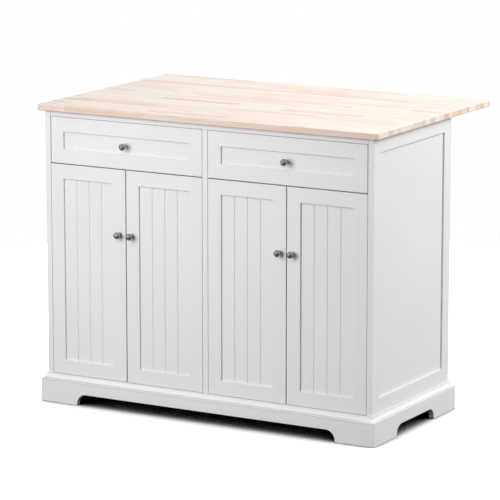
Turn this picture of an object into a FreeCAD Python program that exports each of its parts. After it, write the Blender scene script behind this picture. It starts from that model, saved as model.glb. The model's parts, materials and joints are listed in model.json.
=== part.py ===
import FreeCAD, Part
import math
import os

from FreeCAD import Vector

# Kitchen island: a two-bay cabinet on a bracket-foot plinth, under a butcher-block worktop
# whose rear leaf drops. Millimetres. X runs along the width, Y from front to back and Z up.
# Heights are taken from the floor and depths from the cabinet's front face. As each node is
# saved it moves in Y, so that the origin is on the floor under the middle of the whole.

# --- Carcass ---
cabinet_width = 1110.0
cabinet_depth = 500.0
carcass_height = 896.0
board = 18.0                    # side, partition, bottom, rail and back thickness
base_height = 88.0              # top of the plinth and of the bottom panel
skirt_height = 40.0             # underside of the sides and the back, behind the plinth
top_rail_height = 17.0
rail_depth = 60.0
stretcher_height = 18.0
frame_width = 45.0              # stiles and rails of the side and back panelling
back_centre_stile = 60.0
panel_recess = 5.5              # from a frame's face to its panel
panel_thickness = 9.0
panel_tongue = 5.5              # how far a panel enters the groove around it

same_place = 0.01               # two coordinates closer than this are one

# --- Worktop and drop leaf ---
worktop_thickness = 18.0
front_overhang = 17.0
side_overhang = 19.0
rear_overhang = 72.0
leaf_depth = 156.0
leaf_gap = 1.0
front_corner_radius = 10.0
leaf_corner_radius = 8.0
worktop_edge_radius = 2.0

# --- Plinth ---
plinth_board = 16.5
plinth_board_height = 67.0
front_foot_width = 129.0
side_foot_width = 145.0
arch_height = 34.5
arch_radius = 30.0
foot_block = 75.0
bead_radius = 2.5
cove_foot = 3.5                 # ledge between the bead and the cove of the base moulding
cove_top = 3.0                  # flat at the top of the base moulding, against the cabinet
cove_lip = 2.0
cove_step = 1.0                 # from the bead's ledge in to the foot of the cove
cove_bend = 0.35                # share of the cove's height and reach at its deepest point
overcut = 1.0                   # how far a cutting shape passes what it cuts
arch_overrun = 33.0             # how far the arches' cutting blocks pass the carcass

# --- Doors ---
front_thickness = 18.0          # doors and drawer fronts, inset flush with the carcass
reveal = 2.0                    # gap between a front and the carcass
door_gap = 3.0                  # gap between two doors, and between a door and a drawer
front_frame_width = 44.0
board_count = 4                 # tongue-and-groove boards in a door panel
groove_width = 3.0
groove_depth = 1.6

# --- Drawers ---
drawer_front_height = 139.0
box_height = 100.0
box_back_gap = 24.0
box_wall = 12.0
box_clearance = 7.0             # under the box, above the stretcher
stretcher_overlap = 10.0        # the stretcher's top, above the doors' tops
bottom_thickness = 4.0
bottom_lift = 8.0               # from the box's lower edge to its bottom
bottom_groove = 6.0

# --- Drawer runners ---
runner_space = 13.0             # between the carcass and the drawer box
runner_height = 35.0
runner_back_gap = 12.0
runner_metal = 1.5
runner_depth = 11.0
runner_play = 0.4
runner_front_gap = 2.0          # from a drawer front's back to the runner
runner_screw_front = 12.0       # from the runner's ends to its screws
runner_screw_back = 10.0

# --- Knobs ---
knob_radius = 10.5
knob_projection = 25.0
knob_head_length = 11.0
knob_neck_radius = 5.2
knob_foot_radius = 7.0
knob_foot_length = 3.0
knob_head_taper = 3.0           # length of the cone between the neck and the head
knob_back_radius = 9.4          # the head's back, shoulder, crown and flat nose
knob_shoulder_radius = 8.2
knob_crown_radius = 5.0
knob_nose_radius = 1.3
knob_rim_depth = 3.0            # from the head's back to its widest ring
knob_shoulder_drop = 2.0        # from the tip back to the shoulder, and to the crown
knob_crown_drop = 0.6
knob_edge_distance = 20.0       # from a door's free edge
knob_drop = 196.0               # from a door's top edge
knob_screw_radius = 2.0
knob_screw_head_radius = 4.5
knob_screw_head_height = 2.0
hole_clearance = 0.2

# --- Concealed door hinges ---
cup_radius = 17.5
cup_depth = 11.5
cup_wall = 1.0
cup_edge_distance = 3.0
cup_flange_height = 46.0
cup_flange_width = 22.0
hinge_end_distance = 90.0       # from a door's end to its nearest hinge
link_pivot = 11.5               # along the door, from the corner that it turns about
link_floor_gap = 1.0            # between the link's eye and the cup's floor
link_reach = 13.5
link_length = 45.0
link_thickness = 3.0
link_height = 12.0
link_pin_radius = 1.5
arm_gap = 3.0                   # from a closed door's back to the fixed arm
arm_end = 72.0
arm_inside_low = 20.6
arm_inside_high = 32.2
arm_metal = 1.2
arm_play = 0.3
plate_start = 34.0
plate_end = 70.0
plate_metal = 2.5
plate_height = 44.0
riser_height = 16.0
riser_start = 38.0
riser_end = 68.0
plate_screw_offset = 16.0       # from a hinge's middle height to each plate screw

# --- Leaf hinges ---
leaf_hinge_places = (-430.0, 0.0, 430.0)
leaf_hinge_width = 64.0
leaf_hinge_reach = 30.0
leaf_hinge_metal = 1.5
knuckle_radius = 3.0
knuckle_half_width = 11.0       # half of the leaf's own knuckle
knuckle_play = 0.3
leaf_pin_radius = 1.5
pin_clearance = 0.05
leaf_screw_near = 12.0          # from the seam to the middle screw of a hinge plate
leaf_screw_far = 22.0           # from the seam to its two outer screws
leaf_screw_side = 21.0          # from the plate's middle to its outer screws

# --- Fold-down support arms ---
support_place = 300.0           # from the middle to each arm
support_width = 20.0
support_root_radius = 12.0
support_length = 165.0
support_tip_height = 14.0
support_play = 0.3
support_metal = 3.0
support_pin_radius = 4.0
support_pin_head_radius = 7.0
support_pin_head = 3.0
support_plate_half_width = 30.0
support_plate_height = 40.0
support_plate_drop = 2.0        # from the arm's top down to the plate's
support_ear_radius = 10.0
support_wall_gap = 1.0          # between the arm's round end and the plate
support_tip_chamfer = 3.0
support_taper_share = 0.45      # share of the arm's length where its straight underside ends
support_screw_offset = 22.0
support_screw_high = 9.0        # from the plate's top and bottom edges to its screws
support_screw_low = 8.0

# --- Shelves ---
shelf_thickness = 15.0
shelf_height = 400.0
shelf_clearance = 1.0
shelf_front = 25.0
shelf_back_gap = 7.0
shelf_pin_radius = 2.5
shelf_pin_length = 8.0

# --- Screws ---
screw_radius = 1.7
screw_head_radius = 3.6
screw_head_top_radius = 2.16
screw_head_height = 1.5
short_screw = 10.0
runner_screw = 8.0
long_screw = 30.0
top_screw_place = 0.8           # share of the cabinet's inner half width

# --- Places worked out from the sizes ---
half_width = cabinet_width / 2
side_inner = half_width - board
back_inner = cabinet_depth - board
bay_start = board / 2
bay_width = side_inner - bay_start
worktop_top = carcass_height + worktop_thickness
seam_start = cabinet_depth + rear_overhang
seam_middle = seam_start + leaf_gap / 2
leaf_end = seam_start + leaf_gap + leaf_depth
door_width = (bay_width - 2 * reveal - door_gap) / 2
drawer_top = carcass_height - top_rail_height - reveal
drawer_bottom = drawer_top - drawer_front_height
door_top = drawer_bottom - door_gap
door_bottom = base_height + reveal
stretcher_top = door_top + stretcher_overlap
box_depth = back_inner - box_back_gap - front_thickness
runner_setback = front_thickness + runner_front_gap
runner_length = back_inner - runner_back_gap - runner_setback
box_bottom = stretcher_top + box_clearance
runner_middle = box_bottom + box_height / 2
box_start = bay_start + runner_space
box_end = side_inner - runner_space
frame_back = panel_recess + panel_thickness
shelf_back = back_inner - shelf_back_gap
pin_inset = frame_width - panel_tongue - shelf_pin_radius
leaf_axis_height = carcass_height - knuckle_radius
support_axis_depth = cabinet_depth + support_metal + support_wall_gap + support_root_radius
support_axis_height = carcass_height - support_play - support_root_radius
hinge_heights = (door_bottom + hinge_end_distance, door_top - hinge_end_distance)
knob_height = door_top - knob_drop
cup_middle = reveal / 2 + cup_edge_distance + cup_radius
arm_start = front_thickness + arm_gap
link_depth = front_thickness - cup_depth + cup_wall + link_floor_gap + link_thickness
middle_depth = (leaf_end - knob_projection) / 2
along_x = Vector(1, 0, 0)
along_y = Vector(0, 1, 0)
along_z = Vector(0, 0, 1)
os.makedirs("parts", exist_ok=True)


def box(x0, x1, y0, y1, z0, z1):
    """A block between two corners."""
    return Part.makeBox(x1 - x0, y1 - y0, z1 - z0, Vector(x0, y0, z0))


def rod(radius, start, end):
    """A round bar from one point to another."""
    direction = end.sub(start)
    return Part.makeCylinder(radius, direction.Length, start, direction)


def prism(points, direction):
    """An outline of straight sides, drawn out along a direction."""
    outline = Part.makePolygon(points + points[:1])
    return Part.Face(outline).extrude(direction)


def mirrored(shape):
    """The same shape on the other side of the middle plane."""
    return shape.mirror(Vector(0, 0, 0), along_x)


def screw(place, direction, length):
    """A pan-head wood screw whose head stands on a surface at place, its shank along direction."""
    back = Vector(direction).multiply(-1)
    head = Part.makeCone(screw_head_radius, screw_head_top_radius, screw_head_height, place, back)
    shank = Part.makeCylinder(screw_radius, length, place, direction)
    return head.fuse(shank)


def edges_where(shape, test):
    """The edges whose every vertex passes a test."""
    return [edge for edge in shape.Edges if all(test(vertex.Point) for vertex in edge.Vertexes)]


def save(node, shapes):
    """Write one node, moved so that the origin is under the middle of the whole."""
    solids = Part.makeCompound(shapes)
    solids.translate(Vector(0, -middle_depth, 0))
    solids.exportStep("parts/" + node + ".step")


def framed_panel(x0, x1, z0, z1, stile, low_rail, high_rail, thickness):
    """Stiles, rails and a tongued panel in the XZ plane, with the face at y = 0."""
    inside = (x0 + stile, x1 - stile, z0 + low_rail, z1 - high_rail)
    members = [
        box(x0, inside[0], 0, thickness, z0, z1),
        box(inside[1], x1, 0, thickness, z0, z1),
        box(inside[0], inside[1], 0, thickness, z0, inside[2]),
        box(inside[0], inside[1], 0, thickness, inside[3], z1),
    ]
    panel = box(
        inside[0] - panel_tongue, inside[1] + panel_tongue,
        panel_recess, frame_back,
        inside[2] - panel_tongue, inside[3] + panel_tongue,
    )
    members = [member.cut(panel) for member in members]
    return members, panel, inside


# --- Sides, partition, bottom, rails and back ---
def side(name):
    """One side of the carcass: a frame with a panel set in from outside, flush inside."""
    frame = [
        box(side_inner, half_width, 0, frame_width, skirt_height, carcass_height),
        box(side_inner, half_width, cabinet_depth - frame_width, cabinet_depth,
            skirt_height, carcass_height),
        box(side_inner, half_width, frame_width, cabinet_depth - frame_width,
            carcass_height - frame_width, carcass_height),
        box(side_inner, half_width, frame_width, cabinet_depth - frame_width,
            skirt_height, base_height + frame_width),
    ]
    low = base_height + frame_width
    high = carcass_height - frame_width
    tongue = box(
        half_width - frame_back, half_width - panel_recess,
        frame_width - panel_tongue, cabinet_depth - frame_width + panel_tongue,
        low - panel_tongue, high + panel_tongue,
    )
    field = box(side_inner, half_width - panel_recess,
                frame_width, cabinet_depth - frame_width, low, high)
    frame = [member.cut(tongue) for member in frame]
    panel = field.fuse(tongue).removeSplitter()
    if name == "left":
        frame = [mirrored(member) for member in frame]
        panel = mirrored(panel)
    save(name + "_side_frame", frame)
    return panel


save("side_panels", [side("left"), side("right")])
save("centre_partition", [
    box(-bay_start, bay_start, 0, back_inner, base_height, carcass_height - top_rail_height),
])
save("bottom_panel", [
    box(-side_inner, side_inner, 0, back_inner, base_height - board, base_height),
])

rail_bottom = carcass_height - top_rail_height
stretcher_front = front_thickness + reveal
rails = [
    box(-side_inner, side_inner, 0, rail_depth, rail_bottom, carcass_height),
    box(-side_inner, side_inner, back_inner - rail_depth, back_inner, rail_bottom, carcass_height),
]
stretcher = box(bay_start, side_inner, stretcher_front, stretcher_front + rail_depth,
                stretcher_top - stretcher_height, stretcher_top)
save("carcass_rails", rails + [stretcher, mirrored(stretcher)])

back_low = base_height + frame_width
back_high = carcass_height - frame_width
back_start = back_centre_stile / 2
back_end = side_inner - frame_width
back_panel = box(
    back_start - panel_tongue, back_end + panel_tongue,
    cabinet_depth - frame_back, cabinet_depth - panel_recess,
    back_low - panel_tongue, back_high + panel_tongue,
)
back_members = [
    box(back_end, side_inner, back_inner, cabinet_depth, skirt_height, carcass_height),
    box(back_start, back_end, back_inner, cabinet_depth, skirt_height, back_low),
    box(back_start, back_end, back_inner, cabinet_depth, back_high, carcass_height),
]
back_members = [member.cut(back_panel) for member in back_members]
centre_stile = box(-back_start, back_start, back_inner, cabinet_depth, skirt_height, carcass_height)
centre_stile = centre_stile.cut(back_panel).cut(mirrored(back_panel))
save("back_frame", back_members + [mirrored(member) for member in back_members] + [centre_stile])
save("back_panels", [back_panel, mirrored(back_panel)])


# --- Plinth boards, base moulding and foot blocks ---
plinth_half_width = half_width + plinth_board
plinth_back = cabinet_depth + plinth_board
arch_limits = {
    "front": (-plinth_half_width + front_foot_width, plinth_half_width - front_foot_width),
    "back": (-plinth_half_width + front_foot_width, plinth_half_width - front_foot_width),
    "left": (side_foot_width - plinth_board, plinth_back - side_foot_width),
    "right": (side_foot_width - plinth_board, plinth_back - side_foot_width),
}


def mitred_block(place, height_low, height_high):
    """The mitred block of one side of the plinth's rectangle."""
    outer = [
        Vector(-plinth_half_width, -plinth_board, height_low),
        Vector(plinth_half_width, -plinth_board, height_low),
        Vector(plinth_half_width, plinth_back, height_low),
        Vector(-plinth_half_width, plinth_back, height_low),
    ]
    inner = [
        Vector(-half_width, 0, height_low),
        Vector(half_width, 0, height_low),
        Vector(half_width, cabinet_depth, height_low),
        Vector(-half_width, cabinet_depth, height_low),
    ]
    first = ("front", "right", "back", "left").index(place)
    second = (first + 1) % 4
    outline = [outer[first], outer[second], inner[second], inner[first]]
    return prism(outline, Vector(0, 0, height_high - height_low))


def arch(low, high):
    """The cut-out between two feet, along X through the full depth, with round upper corners."""
    block = box(low, high, -arch_overrun, cabinet_depth + arch_overrun, -overcut, arch_height)
    corners = edges_where(block, lambda point: abs(point.z - arch_height) < same_place)
    corners = [edge for edge in corners if abs(edge.Vertexes[0].X - edge.Vertexes[1].X) < same_place]
    return block.makeFillet(arch_radius, corners)


front_arch = arch(*arch_limits["front"])
side_arch = arch(*arch_limits["right"])
side_arch.rotate(Vector(0, 0, 0), along_z, 90)
side_arch.translate(Vector(half_width + arch_overrun - overcut, 0, 0))
for place in ("front", "back"):
    save("plinth_" + place, [mitred_block(place, 0, plinth_board_height).cut(front_arch)])
right_board = mitred_block("right", 0, plinth_board_height).cut(side_arch)
save("plinth_right", [right_board])
save("plinth_left", [mirrored(right_board)])


def moulding_profile():
    """The base moulding's section: a bead at the foot, a ledge, a cove, and a lip at the top.
    The first coordinate is the distance that it stands out from the cabinet."""
    bead_top = plinth_board_height + 2 * bead_radius
    ledge = plinth_board - bead_radius
    cove_low = bead_top + cove_foot - bead_radius
    cove_high = base_height - cove_lip
    cove_out = ledge - cove_step
    bend = Vector(
        cove_top + (cove_out - cove_top) * cove_bend, 0,
        cove_low + (cove_high - cove_low) * cove_bend,
    )
    points = [
        Vector(0, 0, plinth_board_height),
        Vector(ledge, 0, plinth_board_height),
        Vector(plinth_board, 0, plinth_board_height + bead_radius),
        Vector(ledge, 0, bead_top),
        Vector(cove_out, 0, bead_top),
        Vector(cove_out, 0, cove_low),
        bend,
        Vector(cove_top, 0, cove_high),
        Vector(cove_top, 0, base_height),
        Vector(0, 0, base_height),
    ]
    edges = [
        Part.LineSegment(points[0], points[1]).toShape(),
        Part.Arc(points[1], points[2], points[3]).toShape(),
        Part.LineSegment(points[3], points[4]).toShape(),
        Part.LineSegment(points[4], points[5]).toShape(),
        Part.Arc(points[5], points[6], points[7]).toShape(),
        Part.LineSegment(points[7], points[8]).toShape(),
        Part.LineSegment(points[8], points[9]).toShape(),
        Part.LineSegment(points[9], points[0]).toShape(),
    ]
    return Part.Face(Part.Wire(edges))


def moulding(place):
    """One mitred length of base moulding."""
    length = 2 * plinth_half_width + 2 * plinth_back
    strip = moulding_profile().extrude(Vector(0, length, 0))
    strip.translate(Vector(0, -length / 2, 0))
    turns = {"front": -90, "right": 0, "back": 90}
    moves = {
        "front": Vector(0, 0, 0),
        "right": Vector(half_width, 0, 0),
        "back": Vector(0, cabinet_depth, 0),
    }
    strip.rotate(Vector(0, 0, 0), along_z, turns[place])
    strip.translate(moves[place])
    return strip.common(mitred_block(place, plinth_board_height, base_height))


right_moulding = moulding("right")
save("base_moulding", [moulding("front"), moulding("back"), right_moulding, mirrored(right_moulding)])

blocks = []
for front in (0, cabinet_depth - foot_block):
    block = box(half_width - foot_block, half_width, front, front + foot_block, 0, skirt_height)
    blocks += [block, mirrored(block)]
save("foot_blocks", blocks)


# --- Worktop and drop leaf ---
def slab(y0, y1, corner_depth, corner_radius):
    """A worktop slab with two round corners at corner_depth and eased edges."""
    half = half_width + side_overhang
    block = box(-half, half, y0, y1, carcass_height, worktop_top)
    corners = edges_where(block, lambda point: abs(point.y - corner_depth) < same_place)
    corners = [edge for edge in corners if abs(edge.Vertexes[0].Z - edge.Vertexes[1].Z) > same_place]
    block = block.makeFillet(corner_radius, corners)
    seam = y1 if corner_depth == y0 else y0
    rims = []
    for level in (carcass_height, worktop_top):
        rim = edges_where(block, lambda point: abs(point.z - level) < same_place)
        rims += [edge for edge in rim if any(abs(v.Y - seam) > same_place for v in edge.Vertexes)]
    return block.makeFillet(worktop_edge_radius, rims)


save("main_top", [slab(-front_overhang, seam_start, -front_overhang, front_corner_radius)])
save("drop_leaf", [slab(seam_start + leaf_gap, leaf_end, leaf_end, leaf_corner_radius)])


# --- Leaf hinges ---
def hinge_leaf(middle, side_sign):
    """One hinge plate under the worktop, from its knuckles towards side_sign along Y."""
    half = leaf_hinge_width / 2
    reach = side_sign * leaf_hinge_reach
    y0, y1 = sorted((seam_middle, seam_middle + reach))
    plate = box(middle - half, middle + half, y0, y1,
                carcass_height - leaf_hinge_metal, carcass_height)
    axis = Vector(middle, seam_middle, leaf_axis_height)
    own = knuckle_half_width - knuckle_play
    if side_sign > 0:
        spans = [(-own, own)]
        others = [(-half - overcut, -own), (own, half + overcut)]
    else:
        spans = [(-half, -knuckle_half_width), (knuckle_half_width, half)]
        others = [(-knuckle_half_width, knuckle_half_width)]
    room = knuckle_radius + 2 * knuckle_play
    y_low, y_high = sorted((seam_middle, seam_middle + side_sign * room))
    for low, high in others:
        start = axis + Vector(low, 0, 0)
        end = axis + Vector(high, 0, 0)
        plate = plate.cut(rod(room, start, end))
        plate = plate.cut(box(start.x, end.x, y_low, y_high, leaf_axis_height, carcass_height + overcut))
    for low, high in spans:
        plate = plate.fuse(rod(knuckle_radius, axis + Vector(low, 0, 0), axis + Vector(high, 0, 0)))
    past = Vector(half + overcut, 0, 0)
    plate = plate.cut(rod(leaf_pin_radius + pin_clearance, axis - past, axis + past))
    for place in leaf_screw_places(middle, side_sign):
        above = place + Vector(0, 0, leaf_hinge_metal + overcut)
        plate = plate.cut(rod(screw_radius + hole_clearance, place, above))
    return plate.removeSplitter()


def leaf_screw_places(middle, side_sign):
    """Where a leaf hinge plate's screws enter it from below."""
    level = carcass_height - leaf_hinge_metal
    near = seam_middle + side_sign * leaf_screw_near
    far = seam_middle + side_sign * leaf_screw_far
    return [
        Vector(middle - leaf_screw_side, far, level),
        Vector(middle, near, level),
        Vector(middle + leaf_screw_side, far, level),
    ]


cabinet_screws = []
leaf_screws = []
top_plates = []
leaf_plates = []
leaf_pins = []
for middle in leaf_hinge_places:
    top_plates.append(hinge_leaf(middle, -1))
    leaf_plates.append(hinge_leaf(middle, 1))
    end = Vector(leaf_hinge_width / 2 + overcut, 0, 0)
    axis = Vector(middle, seam_middle, leaf_axis_height)
    leaf_pins.append(rod(leaf_pin_radius, axis - end, axis + end))
    cabinet_screws += [screw(place, along_z, short_screw) for place in leaf_screw_places(middle, -1)]
    leaf_screws += [screw(place, along_z, short_screw) for place in leaf_screw_places(middle, 1)]
save("leaf_hinge_top_plates", top_plates)
save("leaf_hinge_plates", leaf_plates)
save("leaf_hinge_pins", leaf_pins)
save("leaf_screws", leaf_screws)


# --- Fold-down support arms ---
def support_arm(middle):
    """An arm that carries the raised leaf, round at its pivot and tapered to its tip."""
    half = support_width / 2
    radius = support_root_radius
    chamfer = support_tip_chamfer
    y = support_axis_depth
    z = support_axis_height
    tip = y + support_length
    outline = [
        Vector(middle - half, y, z + radius),
        Vector(middle - half, tip - chamfer, z + radius),
        Vector(middle - half, tip, z + radius - chamfer),
        Vector(middle - half, tip, z + radius - support_tip_height + chamfer),
        Vector(middle - half, tip - chamfer, z + radius - support_tip_height),
        Vector(middle - half, y + support_length * support_taper_share, z - radius),
        Vector(middle - half, y, z - radius),
    ]
    arm = prism(outline, Vector(support_width, 0, 0))
    ends = (Vector(middle - half, y, z), Vector(middle + half, y, z))
    arm = arm.fuse(rod(radius, *ends)).removeSplitter()
    return arm.cut(rod(support_pin_radius + pin_clearance, *ends))


def support_bracket(middle):
    """A wall plate with two ears that hold an arm's pivot."""
    y = support_axis_depth
    z = support_axis_height
    top = z + support_root_radius - support_plate_drop
    plate = box(middle - support_plate_half_width, middle + support_plate_half_width,
                cabinet_depth, cabinet_depth + support_metal, top - support_plate_height, top)
    for place in support_screw_places(middle):
        plate = plate.cut(rod(screw_radius + hole_clearance, place, place - Vector(0, support_metal, 0)))
    inner = support_width / 2 + support_play
    for low in (-inner - support_metal, inner):
        start = Vector(middle + low, y, z)
        end = start + Vector(support_metal, 0, 0)
        ear = rod(support_ear_radius, start, end)
        ear = ear.fuse(box(start.x, end.x, cabinet_depth + support_metal, y,
                           z - support_ear_radius, z + support_ear_radius))
        plate = plate.fuse(ear.cut(rod(support_pin_radius + pin_clearance, start, end)))
    return plate.removeSplitter()


def support_screw_places(middle):
    """Where a support bracket's screws enter its plate."""
    level = cabinet_depth + support_metal
    top = support_axis_height + support_root_radius - support_plate_drop
    places = []
    for offset in (-support_screw_offset, support_screw_offset):
        for drop in (support_screw_high, support_plate_height - support_screw_low):
            places.append(Vector(middle + offset, level, top - drop))
    return places


brackets = []
pivots = []
for name, middle in (("left", -support_place), ("right", support_place)):
    save(name + "_support_arm", [support_arm(middle)])
    brackets.append(support_bracket(middle))
    reach = support_width / 2 + support_play + support_metal
    axis = Vector(middle, support_axis_depth, support_axis_height)
    pivot = rod(support_pin_radius, axis - Vector(reach, 0, 0), axis + Vector(reach, 0, 0))
    for side_sign in (-1, 1):
        start = axis + Vector(side_sign * reach, 0, 0)
        end = start + Vector(side_sign * support_pin_head, 0, 0)
        pivot = pivot.fuse(rod(support_pin_head_radius, start, end))
    pivots.append(pivot)
    for place in support_screw_places(middle):
        cabinet_screws.append(screw(place, Vector(0, -1, 0), short_screw))
save("support_brackets", brackets)
save("support_pivots", pivots)


# --- Knobs ---
def knob(x, y, z, screw_end):
    """A round knob on a surface at y, and the screw that holds it, its head at screw_end."""
    tip = -knob_projection
    head_back = tip + knob_head_length
    outline = [
        Vector(0, y, 0),
        Vector(knob_foot_radius, y, 0),
        Vector(knob_foot_radius, y - knob_foot_length / 2, 0),
        Vector(knob_neck_radius, y - knob_foot_length, 0),
        Vector(knob_neck_radius, head_back + knob_head_taper, 0),
        Vector(knob_back_radius, head_back, 0),
    ]
    edges = [Part.LineSegment(a, b).toShape() for a, b in zip(outline, outline[1:])]
    rim = Vector(knob_radius, head_back - knob_rim_depth, 0)
    shoulder = Vector(knob_shoulder_radius, tip + knob_shoulder_drop, 0)
    crown = Vector(knob_crown_radius, tip + knob_crown_drop, 0)
    flat = Vector(knob_nose_radius, tip, 0)
    nose = Vector(0, tip, 0)
    edges.append(Part.Arc(outline[-1], rim, shoulder).toShape())
    edges.append(Part.Arc(shoulder, crown, flat).toShape())
    edges.append(Part.LineSegment(flat, nose).toShape())
    edges.append(Part.LineSegment(nose, outline[0]).toShape())
    body = Part.Face(Part.Wire(edges)).revolve(Vector(0, 0, 0), along_y, 360)
    body.translate(Vector(x, 0, z))
    shank = rod(knob_screw_radius, Vector(x, y, z), Vector(x, screw_end, z))
    head = rod(knob_screw_head_radius, Vector(x, screw_end, z),
               Vector(x, screw_end + knob_screw_head_height, z))
    return [body, shank.fuse(head)]


def knob_hole(x, z, depth):
    """The clearance hole for a knob's screw."""
    return rod(knob_screw_radius + hole_clearance, Vector(x, 0, z), Vector(x, depth, z))


# --- Doors and their concealed hinges ---
# A door is drawn hung on the left: x from the vertical line that it turns about, in the middle
# of the gap at its edge, and y into the cabinet.
def hung(shapes, hand, pivot):
    """Shapes of a left-hung door, placed at a pivot: hand 1 as drawn, hand -1 the other way."""
    placed = []
    for shape in shapes:
        copy = mirrored(shape) if hand < 0 else shape.copy()
        copy.translate(Vector(pivot, 0, 0))
        placed.append(copy)
    return placed


def door_leaf():
    """A door's frame members and its grooved panel."""
    start = reveal / 2
    frame, panel, inside = framed_panel(
        start, start + door_width, door_bottom, door_top,
        front_frame_width, front_frame_width, front_frame_width, front_thickness,
    )
    pitch = (inside[1] - inside[0]) / board_count
    for number in range(1, board_count):
        x = inside[0] + number * pitch
        groove = prism([
            Vector(x - groove_width / 2, panel_recess, inside[2]),
            Vector(x + groove_width / 2, panel_recess, inside[2]),
            Vector(x, panel_recess + groove_depth, inside[2]),
        ], Vector(0, 0, inside[3] - inside[2]))
        panel = panel.cut(groove)
    knob_x = start + door_width - knob_edge_distance
    frame[1] = frame[1].cut(knob_hole(knob_x, knob_height, front_thickness))
    for z in hinge_heights:
        bore = rod(cup_radius, Vector(cup_middle, front_thickness - cup_depth, z),
                   Vector(cup_middle, front_thickness, z))
        frame[0] = frame[0].cut(bore)
    return frame, panel, knob(knob_x, 0, knob_height, front_thickness)


def hinge_cup(z):
    """A cup let into the door's back, with its flange, the link's pin and two screws."""
    low = front_thickness - cup_depth
    outer = rod(cup_radius, Vector(cup_middle, low, z), Vector(cup_middle, front_thickness, z))
    flange = box(cup_middle - cup_flange_width / 2, cup_middle + cup_flange_width / 2,
                 front_thickness, front_thickness + cup_wall,
                 z - cup_flange_height / 2, z + cup_flange_height / 2)
    rim = rod(cup_radius, Vector(cup_middle, front_thickness, z),
              Vector(cup_middle, front_thickness + cup_wall, z))
    hollow = rod(cup_radius - cup_wall, Vector(cup_middle, low + cup_wall, z),
                 Vector(cup_middle, front_thickness + 2 * cup_wall, z))
    cup = outer.fuse([flange, rim]).cut(hollow)
    for place in cup_screw_places(z):
        cup = cup.cut(rod(screw_radius + hole_clearance, place, place - Vector(0, cup_wall, 0)))
    pin_offset = cup_middle - link_pivot + link_pin_radius
    pin_reach = math.sqrt((cup_radius - cup_wall) ** 2 - pin_offset ** 2)
    pin_half = Vector(0, 0, pin_reach)
    middle = Vector(link_pivot, link_depth, z)
    pieces = [cup.removeSplitter(), rod(link_pin_radius, middle - pin_half, middle + pin_half)]
    pieces += [screw(place, Vector(0, -1, 0), short_screw) for place in cup_screw_places(z)]
    return pieces


def cup_screw_places(z):
    """Where a hinge cup's screws enter its flange."""
    offset = cup_flange_height / 2 - screw_head_radius
    level = front_thickness + cup_wall
    return [Vector(cup_middle, level, z - offset), Vector(cup_middle, level, z + offset)]


def hinge_link(z):
    """The cranked link that turns in the cup and runs in the hinge arm."""
    half = link_thickness / 2
    low = z - link_height / 2
    x = link_pivot
    y = link_depth
    corner = x + link_reach
    outline = [
        Vector(x, y - half, low),
        Vector(corner + half, y - half, low),
        Vector(corner + half, y + link_length, low),
        Vector(corner - half, y + link_length, low),
        Vector(corner - half, y + half, low),
        Vector(x, y + half, low),
    ]
    link = prism(outline, Vector(0, 0, link_height))
    start = Vector(x, y, low)
    end = Vector(x, y, low + link_height)
    link = link.fuse(rod(link_thickness, start, end))
    return link.cut(rod(link_pin_radius + pin_clearance, start, end)).removeSplitter()


def hinge_arm(z):
    """The fixed arm: a channel that the link runs in, on a riser from the mounting plate."""
    inside = link_height / 2 + arm_play
    outside = inside + arm_metal
    shell = box(arm_inside_low - arm_metal, arm_inside_high + arm_metal,
                arm_start, arm_end, z - outside, z + outside)
    hollow = box(arm_inside_low, arm_inside_high,
                 arm_start - overcut, arm_end - arm_metal, z - inside, z + inside)
    riser_low = plate_metal - reveal / 2
    riser = box(riser_low, arm_inside_low - arm_metal, riser_start, riser_end,
                z - riser_height / 2, z + riser_height / 2)
    return shell.cut(hollow).fuse(riser).removeSplitter()


def mounting_plate(z):
    """The hinge's plate on the carcass."""
    wall = -reveal / 2
    plate = box(wall, wall + plate_metal, plate_start, plate_end,
                z - plate_height / 2, z + plate_height / 2)
    for place in plate_screw_places(z):
        plate = plate.cut(rod(screw_radius + hole_clearance, place, place - Vector(plate_metal, 0, 0)))
    return plate


def plate_screw_places(z):
    """Where a mounting plate's screws enter it."""
    level = plate_metal - reveal / 2
    depth = (plate_start + plate_end) / 2
    return [Vector(level, depth, z + offset) for offset in (-plate_screw_offset, plate_screw_offset)]


doors = (
    ("left_outer_door", 1, -side_inner + reveal / 2),
    ("left_inner_door", -1, -bay_start - reveal / 2),
    ("right_inner_door", 1, bay_start + reveal / 2),
    ("right_outer_door", -1, side_inner - reveal / 2),
)
mounting_plates = []
hinge_arms = []
for name, hand, pivot in doors:
    frame, panel, knob_pieces = door_leaf()
    cups = hinge_cup(hinge_heights[0]) + hinge_cup(hinge_heights[1])
    save(name + "_frame", hung(frame, hand, pivot))
    save(name + "_panel", hung([panel], hand, pivot))
    save(name + "_knob", hung(knob_pieces, hand, pivot))
    save(name + "_hinge_cups", hung(cups, hand, pivot))
    save(name + "_hinge_links", hung([hinge_link(z) for z in hinge_heights], hand, pivot))
    hinge_arms += hung([hinge_arm(z) for z in hinge_heights], hand, pivot)
    mounting_plates += hung([mounting_plate(z) for z in hinge_heights], hand, pivot)
    for z in hinge_heights:
        plate_screws = [screw(place, Vector(-1, 0, 0), short_screw) for place in plate_screw_places(z)]
        cabinet_screws += hung(plate_screws, hand, pivot)
save("hinge_arms", hinge_arms)
save("hinge_mounting_plates", mounting_plates)


# --- Drawers and runners ---
def drawer_front():
    """The right-hand drawer's front frame and its panel, backed flush for the knob."""
    x0, x1 = bay_start + reveal, side_inner - reveal
    frame, panel, inside = framed_panel(
        x0, x1, drawer_bottom, drawer_top,
        front_frame_width, front_frame_width, front_frame_width, front_thickness,
    )
    backing = box(inside[0], inside[1], frame_back, front_thickness, inside[2], inside[3])
    panel = panel.fuse(backing).removeSplitter()
    middle = (x0 + x1) / 2
    height = (drawer_bottom + drawer_top) / 2
    panel = panel.cut(knob_hole(middle, height, front_thickness))
    return frame, panel, (middle, height)


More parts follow.
